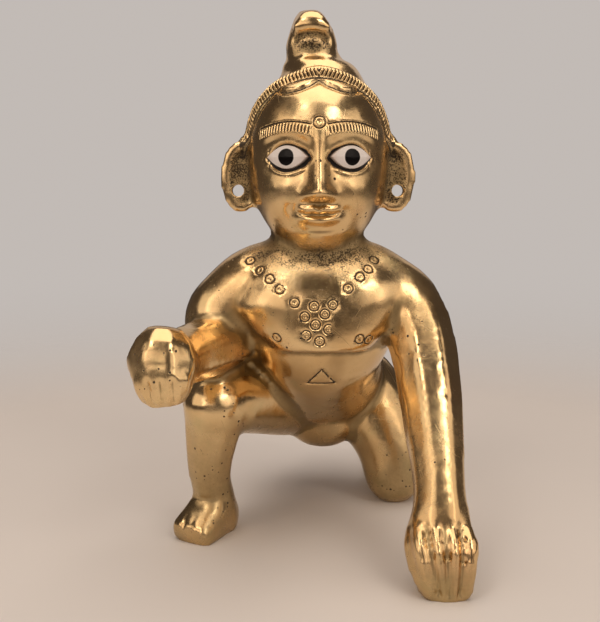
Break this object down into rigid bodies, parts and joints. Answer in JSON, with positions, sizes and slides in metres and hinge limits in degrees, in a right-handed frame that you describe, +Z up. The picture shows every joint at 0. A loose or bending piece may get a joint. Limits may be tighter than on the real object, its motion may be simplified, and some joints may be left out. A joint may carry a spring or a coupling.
{
  "type": "laddu gopal idol",
  "caption": "Cast brass figure of a crawling child that holds out a sweet, with a topknot, pierced ear lobes and inlaid enamel eyes.",
  "frame": {"origin": "on the floor, under the middle of the figure's outline", "axes": "+Z up, the figure looks along -Y, +X is the figure's own left"},
  "size_m": [0.0697, 0.1065, 0.12],
  "materials": {
    "idol": "polished by hand, dark in the grooves",
    "left_eye": "glossy enamel",
    "right_eye": "glossy enamel"
  },
  "bodies": {
    "root": {"idol": "idol", "left_eye": "left_eye", "right_eye": "right_eye"}
  },
  "joints": []
}
